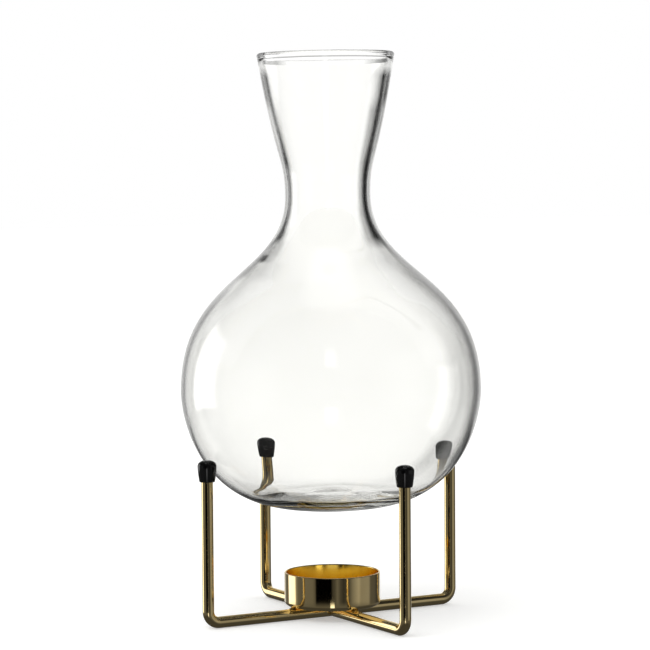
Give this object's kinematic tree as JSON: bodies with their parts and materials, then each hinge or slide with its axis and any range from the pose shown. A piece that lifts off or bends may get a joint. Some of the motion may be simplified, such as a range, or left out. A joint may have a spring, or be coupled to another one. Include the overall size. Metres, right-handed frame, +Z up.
{
  "type": "wine carafe on a warming stand",
  "caption": "Round-bellied clear glass carafe with a waisted neck and flared mouth, resting on a crossed wire stand with capped legs and a cup for a tealight under the glass.",
  "frame": {"origin": "on the table, under the crossing of the stand's wires", "axes": "+Z up through the carafe; the long wire lies along X and the two half wires along Y"},
  "size_m": [0.1314, 0.1314, 0.2475],
  "materials": {
    "clear_glass": "clear, fire polished",
    "polished_brass": "polished, pale gold",
    "brazing_metal": "flowed, slightly dull",
    "black_vinyl": "dipped, glossy black"
  },
  "bodies": {
    "stand": {"long_wire": "polished_brass", "front_half_wire": "polished_brass", "rear_half_wire": "polished_brass", "candle_cup": "polished_brass", "leg_cap_front_left": "black_vinyl", "leg_cap_front_right": "black_vinyl", "leg_cap_rear_left": "black_vinyl", "leg_cap_rear_right": "black_vinyl", "crossing_fillet_right": "brazing_metal", "crossing_fillet_rear": "brazing_metal", "crossing_fillet_left": "brazing_metal", "crossing_fillet_front": "brazing_metal", "cup_bead_front_left": "brazing_metal", "cup_bead_front_right": "brazing_metal", "cup_bead_rear_left": "brazing_metal", "cup_bead_rear_right": "brazing_metal"},
    "carafe": {"carafe_glass": "clear_glass"}
  },
  "joints": [
    {"name": "carafe_lift", "type": "slide", "parent": "stand", "child": "carafe", "axis": [0, 0, 1], "range_m": [0, 0.05]}
  ]
}
